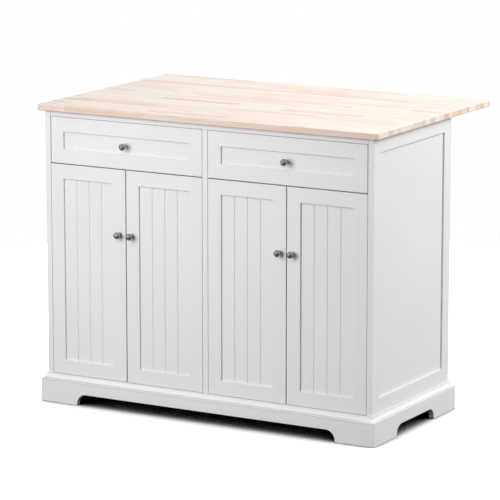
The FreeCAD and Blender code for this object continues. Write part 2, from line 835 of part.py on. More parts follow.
def drawer_box(hole):
    """The right-hand drawer's sides, inner front, back and grooved-in bottom."""
    top = box_bottom + box_height
    back = front_thickness + box_depth
    inner0, inner1 = box_start + box_wall, box_end - box_wall
    floor = box_bottom + bottom_lift
    bottom = box(inner0 - bottom_groove, inner1 + bottom_groove,
                 front_thickness + box_wall - bottom_groove, back - box_wall + bottom_groove,
                 floor, floor + bottom_thickness)
    walls = [
        box(box_start, inner0, front_thickness, back, box_bottom, top),
        box(inner1, box_end, front_thickness, back, box_bottom, top),
        box(inner0, inner1, front_thickness, front_thickness + box_wall, box_bottom, top),
        box(inner0, inner1, back - box_wall, back, box_bottom, top),
    ]
    walls[2] = walls[2].cut(hole)
    return [wall.cut(bottom) for wall in walls] + [bottom]


def runner_section(base0, base1, flange_end, half_height, start, length):
    """A C-section runner along Y: its base between base0 and base1, flanges towards flange_end."""
    f0, f1 = sorted((base0 if flange_end < base0 else base1, flange_end))
    base = box(base0, base1, start, start + length,
               runner_middle - half_height, runner_middle + half_height)
    upper = box(f0, f1, start, start + length,
                runner_middle + half_height - runner_metal, runner_middle + half_height)
    lower = box(f0, f1, start, start + length,
                runner_middle - half_height, runner_middle - half_height + runner_metal)
    return base.fuse([upper, lower]).removeSplitter()


def on_wall(shape, wall, hand):
    """A piece drawn out from a wall at x = 0, placed on a wall and facing along hand."""
    copy = shape.mirror(Vector(0, 0, 0), along_x) if hand < 0 else shape.copy()
    copy.translate(Vector(wall, 0, 0))
    return copy


half_runner = runner_height / 2
runner_screw_depths = (
    runner_setback + runner_screw_front,
    runner_setback + runner_length - runner_screw_back,
)
channel = runner_section(0, runner_metal, runner_depth, half_runner, runner_setback, runner_length)
for depth in runner_screw_depths:
    centre = Vector(0, depth, runner_middle)
    channel = channel.cut(rod(screw_radius + hole_clearance, centre, centre + Vector(runner_metal, 0, 0)))
slide_half = half_runner - runner_metal - runner_play
slide = runner_section(runner_space - runner_metal, runner_space, 2 * runner_metal, slide_half,
                       front_thickness, box_depth)
walls = ((bay_start, 1), (side_inner, -1))
channels = [on_wall(channel, wall, hand) for wall, hand in walls]
slides = [on_wall(slide, wall, hand) for wall, hand in walls]
runner_screws = []
for depth in runner_screw_depths:
    fixing = screw(Vector(runner_metal, depth, runner_middle), Vector(-1, 0, 0), runner_screw)
    runner_screws += [on_wall(fixing, wall, hand) for wall, hand in walls]
save("runner_channels", channels + [mirrored(shape) for shape in channels])
cabinet_screws += runner_screws + [mirrored(shape) for shape in runner_screws]

front_frame, front_panel, knob_place = drawer_front()
knob_x, knob_z = knob_place
box_inner_front = front_thickness + box_wall
box_pieces = drawer_box(knob_hole(knob_x, knob_z, box_inner_front))
drawer_knob = knob(knob_x, panel_recess, knob_z, box_inner_front)
for name, placed in (("right_drawer", lambda shape: shape.copy()), ("left_drawer", mirrored)):
    save(name + "_front_frame", [placed(shape) for shape in front_frame])
    save(name + "_front_panel", [placed(front_panel)])
    save(name + "_box", [placed(shape) for shape in box_pieces])
    save(name + "_runners", [placed(shape) for shape in slides])
    save(name + "_knob", [placed(shape) for shape in drawer_knob])


# --- Shelves and their pins ---
shelf = box(bay_start + shelf_clearance, side_inner - shelf_clearance, shelf_front, shelf_back,
            shelf_height, shelf_height + shelf_thickness)
save("adjustable_shelves", [shelf, mirrored(shelf)])
pins = []
for depth in (pin_inset, cabinet_depth - pin_inset):
    for wall in (bay_start, side_inner):
        middle = Vector(wall, depth, shelf_height - shelf_pin_radius)
        half = Vector(shelf_pin_length, 0, 0)
        pin = rod(shelf_pin_radius, middle - half, middle + half)
        pins += [pin, mirrored(pin)]
save("shelf_pins", pins)


# --- Screws that hold the worktop to the carcass ---
for depth in (rail_depth / 2, back_inner - rail_depth / 2):
    for x in (-side_inner * top_screw_place, 0, side_inner * top_screw_place):
        place = Vector(x, depth, rail_bottom)
        cabinet_screws.append(screw(place, along_z, long_screw))
save("cabinet_screws", cabinet_screws)
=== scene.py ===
"""A kitchen island with a drop leaf: painted joinery, a butcher-block worktop and metal
fittings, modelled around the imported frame, and a pale studio."""

import json
import math

import bmesh
import bpy
from bpy.props import FloatProperty, FloatVectorProperty, IntProperty, PointerProperty
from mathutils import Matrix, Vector


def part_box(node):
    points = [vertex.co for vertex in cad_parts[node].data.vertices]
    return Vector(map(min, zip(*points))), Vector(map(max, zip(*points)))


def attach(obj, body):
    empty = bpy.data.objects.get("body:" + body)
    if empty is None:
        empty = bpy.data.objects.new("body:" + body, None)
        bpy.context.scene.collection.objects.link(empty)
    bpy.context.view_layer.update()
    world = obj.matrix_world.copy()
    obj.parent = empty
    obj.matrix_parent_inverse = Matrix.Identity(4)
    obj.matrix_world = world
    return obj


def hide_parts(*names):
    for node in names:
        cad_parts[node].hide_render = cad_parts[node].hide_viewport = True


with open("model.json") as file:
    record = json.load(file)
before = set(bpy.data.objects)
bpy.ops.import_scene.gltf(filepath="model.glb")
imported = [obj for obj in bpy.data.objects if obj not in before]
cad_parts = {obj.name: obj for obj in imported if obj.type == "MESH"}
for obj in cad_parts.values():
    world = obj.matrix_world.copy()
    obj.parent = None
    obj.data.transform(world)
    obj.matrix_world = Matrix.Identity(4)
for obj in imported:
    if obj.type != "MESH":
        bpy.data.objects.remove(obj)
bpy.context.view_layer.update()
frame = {"nodes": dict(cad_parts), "record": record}

bl_info = {
    "name": "Drop-leaf kitchen island",
    "version": (1, 0, 0),
    "blender": (4, 5, 0),
    "location": "3D View > Sidebar > Island",
    "description": "Models a painted kitchen island with a butcher-block worktop",
    "category": "Object",
}

X, Y, Z = Vector((1, 0, 0)), Vector((0, 1, 0)), Vector((0, 0, 1))
DOORS = ("left_outer_door", "left_inner_door", "right_inner_door", "right_outer_door")
DRAWERS = ("left_drawer", "right_drawer")

# Hidden joinery, in metres
PANEL_LAP = 0.001            # how far a panel reaches in under the frame round it
TOP_RAIL_DEPTH = 0.060       # top rails and stretchers, front to back
STRETCHER_THICKNESS = 0.018
STRETCHER_GAP = 0.002        # between the doors' backs and the stretchers
DRAWER_WALL = 0.012
DRAWER_BOTTOM = 0.004
DRAWER_BOTTOM_LIFT = 0.008   # the bottom above the walls' lower edges
DRAWER_GROOVE = 0.006        # the bottom's edge, in from the box's outside
ARM_TAPER_START = 0.45       # share of a support arm's length
ARM_TAPER_RISE = 0.010       # how much thinner the arm is at its tip
ARM_ROUNDNESS = 0.98         # of the arm's half height, at its pivot
ARM_CORNER = 0.004
ARCH_OVERRUN = Vector((0.05, 0.05, 0.02))   # of the cutter past its board

# The moulding's section: a bead at its foot, a ledge, and a cove under a small lip
BEAD_RADIUS = 0.0025
LEDGE_HEIGHT = 0.0035        # the cove's foot, above the bead's middle
LEDGE_STEP = 0.001           # the cove starts this far behind the bead
LIP_HEIGHT = 0.002
LIP_DEPTH = 0.003            # the lip, out from the cabinet
SECTION_STEPS = 8            # faces in the bead and in the cove

# A knob from its foot through neck, bell and stepped rim to its face:
# (share of its radius, millimetres behind its tip)
KNOB_RINGS = (
    (0.60, 25.0), (0.61, 24.4), (0.58, 23.8), (0.51, 23.2), (0.48, 22.2), (0.47, 20.0),
    (0.51, 17.5), (0.60, 15.0), (0.74, 12.8), (0.88, 11.2), (0.96, 10.1), (1.0, 8.6),
    (1.0, 6.6), (0.98, 5.0), (0.95, 4.1), (0.92, 3.9), (0.90, 3.6), (0.86, 2.7),
    (0.74, 1.6), (0.52, 0.75), (0.26, 0.2), (0.04, 0.0),
)

# name, place, width, setting of its power, shows in gloss, lights matt surfaces
LIGHTS = (
    ("key light", (-0.52, -2.5, 1.24), 1.6, "key", False, True),
    ("side light", (3.0, 0.8, 2.2), 2.2, "side", False, True),
    ("rear light", (-1.6, 3.8, 1.6), 2.4, "rear", False, True),
    ("top light", (-0.3, 1.6, 3.4), 1.8, "top", True, True),
    ("gleam light", (-1.75, -2.9, 0.42), 1.0, "gleam", True, False),
)
LIGHT_AIM = Vector((0, 0, 0.45))


# --- Settings ---
class IslandPaintSettings(bpy.types.PropertyGroup):
    """The satin white paint."""

    colour: FloatVectorProperty(
        name="Paint", description="Colour of the satin paint", subtype="COLOR", size=3,
        default=(0.745, 0.735, 0.752), min=0.0, max=1.0)
    roughness: FloatProperty(
        name="Roughness", description="Roughness of the dried paint", default=0.42, min=0.05, max=1.0)
    peel_size: FloatProperty(
        name="Peel size", description="Width of the sprayed paint's fine ripple",
        default=0.0014, unit="LENGTH")
    peel_depth: FloatProperty(
        name="Peel depth", description="Height of the sprayed paint's fine ripple",
        default=0.00002, unit="LENGTH", precision=6)


class IslandWorktopSettings(bpy.types.PropertyGroup):
    """The butcher-block worktop."""

    stave_width: FloatProperty(
        name="Stave width", description="Width of one glued stave", default=0.030, unit="LENGTH")
    stave_length: FloatProperty(
        name="Stave length", description="Length of one finger-jointed piece",
        default=0.27, unit="LENGTH")
    finger_depth: FloatProperty(
        name="Finger depth", description="Depth of the finger joints between pieces",
        default=0.009, unit="LENGTH")
    edge_radius: FloatProperty(
        name="Edge radius", description="Rounding of the worktop's long edges",
        default=0.002, unit="LENGTH")
    front_corner: FloatProperty(
        name="Front corner", description="Plan radius of the two front corners",
        default=0.010, unit="LENGTH")
    leaf_corner: FloatProperty(
        name="Leaf corner", description="Plan radius of the leaf's two corners",
        default=0.008, unit="LENGTH")
    seam: FloatProperty(
        name="Seam", description="How far each slab is cut back where the leaf meets the worktop",
        default=0.0014, unit="LENGTH")
    pale: FloatVectorProperty(
        name="Pale stave", description="Colour of the palest staves", subtype="COLOR", size=3,
        default=(0.82, 0.73, 0.655), min=0.0, max=1.0)
    middle: FloatVectorProperty(
        name="Middle stave", description="Colour of most staves", subtype="COLOR", size=3,
        default=(0.745, 0.635, 0.555), min=0.0, max=1.0)
    dark: FloatVectorProperty(
        name="Dark stave", description="Colour of the darkest staves", subtype="COLOR", size=3,
        default=(0.56, 0.42, 0.33), min=0.0, max=1.0)


class IslandJoinerySettings(bpy.types.PropertyGroup):
    """Frames, panels, plinth and moulding."""

    front_rail: FloatProperty(
        name="Front frame", description="Width of door and drawer stiles and rails",
        default=0.044, unit="LENGTH")
    body_rail: FloatProperty(
        name="Body frame", description="Width of the side and back stiles and rails",
        default=0.045, unit="LENGTH")
    centre_stile: FloatProperty(
        name="Centre stile", description="Width of the back's middle stile",
        default=0.060, unit="LENGTH")
    recess: FloatProperty(
        name="Recess", description="Depth of the panels behind their frames",
        default=0.0055, unit="LENGTH")
    eased_edge: FloatProperty(
        name="Eased edge", description="Sanding of the painted edges", default=0.0011, unit="LENGTH")
    tighter: FloatProperty(
        name="Tighter", description="How far a front closes its gaps to the cabinet", default=0.0011,
        unit="LENGTH")
    boards: IntProperty(
        name="Boards", description="Boards in each door panel", default=4, min=1)
    groove_width: FloatProperty(
        name="Groove width", description="Width of the grooves between boards",
        default=0.0034, unit="LENGTH")
    groove_depth: FloatProperty(
        name="Groove depth", description="Depth of the grooves between boards",
        default=0.0020, unit="LENGTH")
    arch_height: FloatProperty(
        name="Arch height", description="Height of the cut-outs in the plinth",
        default=0.0345, unit="LENGTH")
    arch_radius: FloatProperty(
        name="Arch radius", description="Radius at the cut-outs' corners", default=0.030, unit="LENGTH")
    front_foot: FloatProperty(
        name="Front foot", description="Width of a foot along the front", default=0.129, unit="LENGTH")
    side_foot: FloatProperty(
        name="Side foot", description="Width of a foot along a side", default=0.145, unit="LENGTH")


class IslandKnobSettings(bpy.types.PropertyGroup):
    """The knobs and the plated fittings."""

    colour: FloatVectorProperty(
        name="Knob metal", description="Colour of the antique nickel knobs", subtype="COLOR", size=3,
        default=(0.56, 0.515, 0.46), min=0.0, max=1.0)
    roughness: FloatProperty(
        name="Knob roughness", description="Roughness of the knobs", default=0.40, min=0.05, max=1.0)
    fittings: FloatVectorProperty(
        name="Plated steel", description="Colour of hinges, runners and screws", subtype="COLOR", size=3,
        default=(0.60, 0.61, 0.63), min=0.0, max=1.0)


class IslandStageSettings(bpy.types.PropertyGroup):
    """Camera and light."""

    azimuth: FloatProperty(
        name="Azimuth", description="Camera's turn to the right of straight on",
        default=math.radians(29.63), subtype="ANGLE")
    elevation: FloatProperty(
        name="Elevation", description="Camera's height above the horizon",
        default=math.radians(11.31), subtype="ANGLE")
    distance: FloatProperty(
        name="Distance", description="From the camera to its target", default=9.310, unit="LENGTH")
    target: FloatVectorProperty(
        name="Target", description="Point that the camera looks at", default=(-0.0369, -0.0202, 0.4603),
        size=3, subtype="TRANSLATION")
    lens: FloatProperty(
        name="Lens", description="Focal length on a 36 mm sensor",
        default=220.6, subtype="DISTANCE_CAMERA")
    key: FloatProperty(
        name="Key", description="Power of the large light at the front left",
        default=48.0, subtype="POWER")
    side: FloatProperty(
        name="Side", description="Power of the light at the right", default=110.0, subtype="POWER")
    rear: FloatProperty(
        name="Rear", description="Power of the low light behind at the left",
        default=75.0, subtype="POWER")
    top: FloatProperty(
        name="Top", description="Power of the light overhead", default=22.5, subtype="POWER")
    gleam: FloatProperty(
        name="Gleam", description="Power of the low light that only shows in glossy surfaces",
        default=12.0, subtype="POWER")
    sky: FloatProperty(
        name="Room light", description="Strength of the room's even light", default=0.82, min=0.0)


SETTINGS = (
    ("island_paint", IslandPaintSettings),
    ("island_worktop", IslandWorktopSettings),
    ("island_joinery", IslandJoinerySettings),
    ("island_knobs", IslandKnobSettings),
    ("island_stage", IslandStageSettings),
)


# --- Modelling helpers ---
def deselect():
    """Leave nothing selected, in object mode."""
    if bpy.context.object and bpy.context.object.mode != "OBJECT":
        bpy.ops.object.mode_set(mode="OBJECT")
    bpy.ops.object.select_all(action="DESELECT")


def choose(*pieces):
    """Select these pieces alone; the first is active."""
    deselect()
    for piece in pieces:
        piece.select_set(True)
    bpy.context.view_layer.objects.active = pieces[0]


def settle(piece, name):
    """Name a new piece and put its place and size into its mesh."""
    piece.name = name
    piece.data.name = name
    bpy.ops.object.transform_apply(location=True, rotation=True, scale=True)
    return piece


def block(name, low, high):
    """A block between two corners, ready to be shaped."""
    deselect()
    low, high = Vector(low), Vector(high)
    bpy.ops.mesh.primitive_cube_add(size=1.0, location=(low + high) / 2)
    piece = bpy.context.active_object
    piece.scale = high - low
    return settle(piece, name)


class Editing:
    """Edit mode on one piece, with nothing selected."""

    def __init__(self, piece):
        self.piece = piece

    def __enter__(self):
        choose(self.piece)
        bpy.ops.object.mode_set(mode="EDIT")
        bpy.ops.mesh.select_all(action="DESELECT")
        return self

    def __exit__(self, *error):
        bpy.ops.object.mode_set(mode="OBJECT")

    def select(self, kind, test):
        """Select the verts, edges or faces that pass a test, alone."""
        bpy.ops.mesh.select_mode(type=kind[:-1].upper())
        bpy.ops.mesh.select_all(action="DESELECT")
        mesh = bmesh.from_edit_mesh(self.piece.data)
        for item in getattr(mesh, kind):
            if test(item):
                item.select_set(True)
        mesh.select_flush_mode()
        bmesh.update_edit_mesh(self.piece.data)

    def slice(self, point, normal, **options):
        """Cut the whole mesh with a plane."""
        bpy.ops.mesh.select_all(action="SELECT")
        bpy.ops.mesh.bisect(plane_co=point, plane_no=normal, **options)


def near(value, target, reach=1e-5):
    """Whether two lengths are the same."""
    return abs(value - target) < reach


def edge_along(edge, axis, place, level):
    """Whether an edge lies at this place on one axis and keeps to one level on another."""
    first, second = (vert.co for vert in edge.verts)
    return near(first[axis], place) and near(second[axis], place) and near(first[level], second[level])


def eased(piece, width, segments=2, angle=30.0):
    """Round a piece's sharp edges and shade it smooth between them."""
    choose(piece)
    bpy.ops.object.shade_smooth()
    rounding = piece.modifiers.new("eased edge", "BEVEL")
    rounding.width = width
    rounding.segments = segments
    rounding.limit_method = "ANGLE"
    rounding.angle_limit = math.radians(angle)
    rounding.harden_normals = True
    bpy.ops.object.modifier_apply(modifier=rounding.name)
    return piece


def joined(name, pieces):
    """Several boards as one piece."""
    choose(*pieces)
    bpy.ops.object.join()
    pieces[0].name = name
    pieces[0].data.name = name
    return pieces[0]


def copied(piece, name, offset):
    """A second piece with its own mesh, moved by an offset."""
    choose(piece)
    bpy.ops.object.duplicate(linked=False)
    twin = bpy.context.active_object
    twin.location = offset
    return settle(twin, name)


def finished(piece, body, node, slot="white_paint"):
    """Give a piece its finish and its place on the frame, where it stands for a CAD node."""
    piece.data.materials.clear()
    piece.data.materials.append(finish_for(slot))
    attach(piece, body)
    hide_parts(node)


def framework(name, low, high, openings, across, edge):
    """Stiles and rails as one frame: a board with rectangular openings right through it.
    across is 0 or 1, the axis of its length; openings are (start, end, bottom, top)."""
    piece = block(name, low, high)
    through = 1 - across
    along = (X, Y)[across]
    with Editing(piece) as mode:
        for start, end, bottom, top in openings:
            for place in (start, end):
                mode.slice(along * place, along)
            for height in (bottom, top):
                mode.slice(Z * height, Z)
        for start, end, bottom, top in openings:
            def inside(face):
                centre = face.calc_center_median()
                return (abs(face.normal[through]) > 0.9
                        and start < centre[across] < end and bottom < centre.z < top)
            mode.select("faces", inside)
            bpy.ops.mesh.bridge_edge_loops()
        bpy.ops.mesh.select_all(action="SELECT")
        bpy.ops.mesh.dissolve_limited(angle_limit=math.radians(1.0))
    return eased(piece, edge)


def field(name, opening, across, faces):
    """A panel that fills an opening and reaches in under its frame.
    across is 0 or 1, the axis of its length; faces are its two sides on the other axis."""
    start, end, bottom, top = opening
    low, high = Vector((0, 0, bottom - PANEL_LAP)), Vector((0, 0, top + PANEL_LAP))
    low[across], high[across] = start - PANEL_LAP, end + PANEL_LAP
    low[1 - across], high[1 - across] = faces
    return block(name, low, high)


def front_frame(body, node, low, high, settings):
    """The stiles and rails of a door or a drawer; gives the opening that they leave."""
    rail = settings.front_rail
    opening = (low.x + rail, high.x - rail, low.z + rail, high.z - rail)
    piece = framework(body + "_framing", low, high, [opening], 0, settings.eased_edge)
    finished(piece, body, node)
    return opening


# --- Materials ---
class Finish:
    """A short way to wire up a material's nodes."""

    def __init__(self, name):
        self.material = bpy.data.materials.new(name)
        self.material.use_nodes = True
        self.tree = self.material.node_tree
        self.shader = self.tree.nodes["Principled BSDF"]
        coordinates = self.node("TexCoord")
        self.place = coordinates.outputs["Object"]
        self.facing = coordinates.outputs["Normal"]

    def link(self, source, socket):
        """Wire a node's output to a socket, or set the socket to a plain value."""
        if isinstance(source, bpy.types.NodeSocket):
            self.tree.links.new(source, socket)
        elif source is not None:
            socket.default_value = source

    def node(self, kind, *sources, **options):
        """A new node with its first sockets wired or set."""
        node = self.tree.nodes.new("ShaderNode" + kind)
        for key, choice in options.items():
            setattr(node, key, choice)
        for socket, source in zip(node.inputs, sources):
            self.link(source, socket)
        return node

    def math(self, operation, *sources):
        return self.node("Math", *sources, operation=operation).outputs[0]

    def vector_math(self, operation, *sources):
        return self.node("VectorMath", *sources, operation=operation).outputs[0]

    def apart(self, vector):
        """A vector's three parts, or a colour's."""
        return self.node("SeparateXYZ", vector).outputs

    def together(self, x, y, z):
        return self.node("CombineXYZ", x, y, z).outputs[0]

    def noise(self, scale, detail=2.0, roughness=0.5, distortion=0.0, own=None):
        """Noise on the piece's own place. Three scales stretch it along the axes,
        and own is an offset that gives a part of the surface its own pattern."""
        place = self.place
        if isinstance(scale, tuple):
            place, scale = self.vector_math("MULTIPLY", place, scale), 1.0
        if own is not None:
            place = self.vector_math("ADD", place, own)
        node = self.node("TexNoise", place)
        for key, number in (("Scale", scale), ("Detail", detail), ("Roughness", roughness),
                            ("Distortion", distortion)):
            node.inputs[key].default_value = number
        return node.outputs["Fac"]

    def chance(self, vector):
        """A random number and a random colour for each whole place."""
        node = self.node("TexWhiteNoise", vector, noise_dimensions="3D")
        return node.outputs["Value"], node.outputs["Color"]

    def span(self, value, low, high, to=(0.0, 1.0)):
        """A value stretched from one range to another, and held within it."""
        return self.node("MapRange", value, low, high, *to, clamp=True).outputs[0]

    def ramp(self, value, stops):
        node = self.node("ValToRGB", value)
        elements = node.color_ramp.elements
        while len(elements) < len(stops):
            elements.new(0.5)
        for element, (position, colour) in zip(elements, stops):
            element.position = position
            element.color = (*colour, 1.0)
        return node.outputs["Color"]

    def mixed(self, factor, first, second):
        """Two colours mixed; a factor of 1 gives the second."""
        node = self.node("Mix", factor, data_type="RGBA")
        for key, source in (("A", first), ("B", second)):
            socket = [s for s in node.inputs if s.name == key and s.type == "RGBA"][0]
            self.link((*source, 1.0) if isinstance(source, tuple) else source, socket)
        return [s for s in node.outputs if s.type == "RGBA"][0]

    def bump(self, height, distance, below=None):
        node = self.node("Bump")
        node.inputs["Distance"].default_value = distance
        self.link(height, node.inputs["Height"])
        self.link(below, node.inputs["Normal"])
        return node.outputs["Normal"]

    def crevice(self, reach):
        """How open the surface is: 1 in the open, less where something is within reach."""
        node = self.node("AmbientOcclusion", samples=8)
        node.inputs["Distance"].default_value = reach
        return node.outputs["AO"]

    def set(self, **sockets):
        """Wire or set the shader's own sockets."""
        for key, source in sockets.items():
            self.link(source, self.shader.inputs[key.replace("_", " ")])


def shade(colour, factor):
    """A colour made lighter or darker."""
    return tuple(min(1.0, channel * factor) for channel in colour)


def paint_finish():
    """Sprayed satin paint over smooth board."""
    settings = bpy.context.scene.island_paint
    colour, roughness = tuple(settings.colour), settings.roughness
    finish = Finish("satin white paint")
    drift = finish.noise(2.2, detail=3.0)
    base = finish.mixed(finish.span(drift, 0.35, 0.65), shade(colour, 0.985), shade(colour, 1.012))
    speck = finish.noise(260.0, detail=3.0, roughness=0.6)
    base = finish.mixed(finish.span(speck, 0.60, 0.78, to=(0.0, 0.35)), base, shade(colour, 0.955))
    # Painted shade: the paint is darkened where another surface is within 5 mm, in grooves, gaps and
    # under the worktop
    painted_crevice_shade = finish.span(finish.crevice(0.005), 0.20, 0.90, to=(0.20, 0.0))
    base = finish.mixed(painted_crevice_shade, base, shade(colour, 0.62))
    peel = finish.noise(1.0 / settings.peel_size)
    sag = finish.noise(45.0)
    surface = finish.bump(sag, 0.00006)
    surface = finish.bump(peel, settings.peel_depth, below=surface)
    patches = finish.noise(18.0, detail=4.0)
    gloss = finish.span(patches, 0.3, 0.7, to=(roughness - 0.05, roughness + 0.06))
    finish.set(Base_Color=base, Roughness=gloss, Normal=surface, Specular_IOR_Level=0.28)
    return finish.material


def worktop_finish():
    """Oiled butcher block: finger-jointed staves with their own tone and grain."""
    settings = bpy.context.scene.island_worktop
    width, length = settings.stave_width, settings.stave_length
    pale, middle, dark = tuple(settings.pale), tuple(settings.middle), tuple(settings.dark)
    finish = Finish("oiled butcher block")

    # Staves run along x. Each row starts at its own place, and ends are finger-jointed
    x, y, _ = finish.apart(finish.place)
    row = finish.math("FLOOR", finish.math("DIVIDE", y, width))
    row_start, _ = finish.chance(finish.together(row, 3.1, 7.7))
    finger_width = width / 8
    finger = finish.math("PINGPONG", y, finger_width)
    finger = finish.math("MULTIPLY", finger, settings.finger_depth / finger_width)
    moved_x = finish.math("MULTIPLY_ADD", row_start, length * 7.0, x)
    stave_place = finish.math("DIVIDE", finish.math("ADD", moved_x, finger), length)
    stave = finish.math("FLOOR", stave_place)
    tone, tint = finish.chance(finish.together(stave, row, 1.3))
    own = finish.vector_math("MULTIPLY", tint, (9.0, 9.0, 9.0))

    # Each stave's own tone, some of them rosy
    wood = finish.ramp(tone, (
        (0.0, shade(pale, 1.02)), (0.45, pale), (0.80, shade(middle, 1.05)),
        (0.95, shade(middle, 0.98)), (1.0, shade(dark, 1.25)),
    ))
    rosy = finish.span(finish.apart(tint)[1], 0.55, 1.0, to=(0.0, 0.16))
    wood = finish.mixed(rosy, wood, (0.74, 0.53, 0.45))

    # Grain, dark dashes, fibres and pores, all stretched along the stave
    grain = finish.noise((2.2, 46.0, 46.0), 6.0, 0.62, 0.7, own=own)
    dashes = finish.noise((7.5, 120.0, 120.0), 2.0, 0.4, own=own)
    fibre = finish.noise((14.0, 520.0, 520.0), 3.0, 0.6, own=own)
    pores = finish.noise((45.0, 1500.0, 1500.0), 1.0, own=own)
    for pattern, low, high, most, colour in (
        (grain, 0.42, 0.74, 0.30, shade(dark, 1.10)),
        (dashes, 0.66, 0.74, 0.62, shade(dark, 0.85)),
        (fibre, 0.52, 0.75, 0.30, shade(middle, 0.72)),
        (pores, 0.66, 0.74, 0.35, shade(dark, 0.62)),
    ):
        wood = finish.mixed(finish.span(pattern, low, high, to=(0.0, most)), wood, colour)

    # Glue lines between rows and between staves
    between_rows = finish.math("PINGPONG", y, width / 2)
    between_staves = finish.math("MULTIPLY", finish.math("PINGPONG", stave_place, 0.5), length)
    glue = finish.math("MINIMUM", between_rows, between_staves)
    wood = finish.mixed(finish.span(glue, 0.0, 0.0007, to=(0.55, 0.0)), wood, shade(dark, 0.60))

    # Salmon ribbons on the long edges, and growth rings on the end grain
    facing_x, facing_y, _ = finish.apart(finish.facing)
    ribbon = finish.noise((5.0, 60.0, 160.0), 3.0, 0.6, own=own)
    salmon = finish.mixed(finish.span(ribbon, 0.40, 0.62), shade(middle, 0.92), (0.70, 0.47, 0.37))
    long_edge = finish.span(finish.math("ABSOLUTE", facing_y), 0.55, 0.95, to=(0.0, 0.75))
    streaks = finish.span(ribbon, 0.30, 0.62, to=(0.45, 1.0))
    wood = finish.mixed(finish.math("MULTIPLY", long_edge, streaks), wood, salmon)
    rings = finish.noise((40.0, 170.0, 60.0), 4.0, 0.6, 0.8, own=own)
    ends = finish.mixed(finish.span(tone, 0.30, 0.95), shade(pale, 1.02), shade(dark, 1.12))
    ends = finish.mixed(finish.span(rings, 0.46, 0.66, to=(0.0, 0.55)), ends, shade(dark, 0.90))
    end_grain = finish.span(finish.math("ABSOLUTE", facing_x), 0.55, 0.95)
    wood = finish.mixed(finish.math("MULTIPLY", end_grain, 0.9), wood, ends)

    # Painted shade: near black in the seam between the worktop and its leaf, and wherever another
    # surface is within 12 mm
    seam = finish.span(finish.crevice(0.012), 0.22, 0.78, to=(0.97, 0.0))
    wood = finish.mixed(seam, wood, shade(dark, 0.12))
    joints = finish.span(glue, 0.0, 0.0006, to=(1.0, 0.0))
    height = finish.math("SUBTRACT", finish.math("MULTIPLY", fibre, 0.5), joints)
    finish.set(Base_Color=wood, Roughness=finish.span(grain, 0.3, 0.7, to=(0.40, 0.54)),
               Normal=finish.bump(height, 0.00005), Specular_IOR_Level=0.35)
    return finish.material


def drawer_finish():
    """Clear-lacquered birch for the drawer boxes."""
    finish = Finish("lacquered drawer birch")
    grain = finish.noise((6.0, 3.0, 60.0), 5.0, 0.6, 0.4)
    wood = finish.ramp(grain, (
        (0.25, (0.80, 0.66, 0.47)), (0.55, (0.73, 0.57, 0.38)), (0.8, (0.60, 0.44, 0.28)),
    ))
    fibre = finish.noise((90.0, 40.0, 900.0))
    wood = finish.mixed(finish.span(fibre, 0.5, 0.75, to=(0.0, 0.35)), wood, (0.50, 0.35, 0.21))
    finish.set(Base_Color=wood, Roughness=finish.span(grain, 0.3, 0.7, to=(0.36, 0.48)),
               Normal=finish.bump(fibre, 0.00004))
    return finish.material


def knob_finish():
    """Antique nickel, brushed round, with painted shade darkening its neck and foot."""
    settings = bpy.context.scene.island_knobs
    colour, roughness = tuple(settings.colour), settings.roughness
    finish = Finish("antique nickel")
    patch = finish.noise(240.0, detail=4.0, roughness=0.6)
    metal = finish.mixed(finish.span(patch, 0.35, 0.70), shade(colour, 1.12), shade(colour, 0.70))
    # Painted shade: nearly black where the knob's own surfaces or the front it sits on are within 16 mm
    painted_hollow_shade = finish.span(finish.crevice(0.016), 0.45, 0.97, to=(0.97, 0.0))
    metal = finish.mixed(painted_hollow_shade, metal, shade(colour, 0.10))
    brush = finish.noise((1800.0, 300.0, 1800.0))
    gloss = finish.span(patch, 0.3, 0.7, to=(roughness - 0.06, roughness + 0.10))
    finish.set(Base_Color=metal, Metallic=1.0, Roughness=gloss, Normal=finish.bump(brush, 0.00001))
    return finish.material


def plated_finish():
    """Zinc-plated steel for hinges, runners, brackets and screws."""
    colour = tuple(bpy.context.scene.island_knobs.fittings)
    finish = Finish("zinc-plated steel")
    spangle = finish.noise(120.0, detail=3.0)
    metal = finish.mixed(finish.span(spangle, 0.3, 0.7), shade(colour, 1.06), shade(colour, 0.84))
    scratch = finish.noise((900.0, 60.0, 900.0))
    gloss = finish.span(spangle, 0.3, 0.7, to=(0.24, 0.40))
    finish.set(Base_Color=metal, Metallic=1.0, Roughness=gloss, Normal=finish.bump(scratch, 0.000012))
    return finish.material


FINISH_MAKERS = {
    "white_paint": paint_finish,
    "butcher_block": worktop_finish,
    "drawer_wood": drawer_finish,
    "knob_metal": knob_finish,
    "zinc_steel": plated_finish,
}
FINISHES = {}


def finish_for(slot):
    """The finish of a material slot, made the first time that it is asked for."""
    if slot not in FINISHES:
        FINISHES[slot] = FINISH_MAKERS[slot]()
    return FINISHES[slot]


# --- Operators ---
class ISLAND_OT_worktop(bpy.types.Operator):
    """Model the butcher-block worktop and its drop leaf"""

    bl_idname = "island.worktop"
    bl_label = "Worktop and leaf"

    def execute(self, context):
        settings = context.scene.island_worktop
        self.slab("main_top", "cabinet", 0, settings.front_corner, settings)
        self.slab("drop_leaf", "leaf", 1, settings.leaf_corner, settings)
        return {"FINISHED"}

    def slab(self, node, body, outer_end, corner, settings):
        """One slab, round at the two corners of its outer end and cut back a little at the seam."""
        low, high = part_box(node)
        outer = (low.y, high.y)[outer_end]
        if outer_end:
            low.y += settings.seam
        else:
            high.y -= settings.seam
        piece = block(node + "_slab", low, high)
        with Editing(piece) as mode:
            mode.select("edges", lambda edge: edge_along(edge, 1, outer, 0))
            bpy.ops.mesh.bevel(offset=corner, segments=10)
        eased(piece, settings.edge_radius, segments=4)
        finished(piece, body, node, "butcher_block")


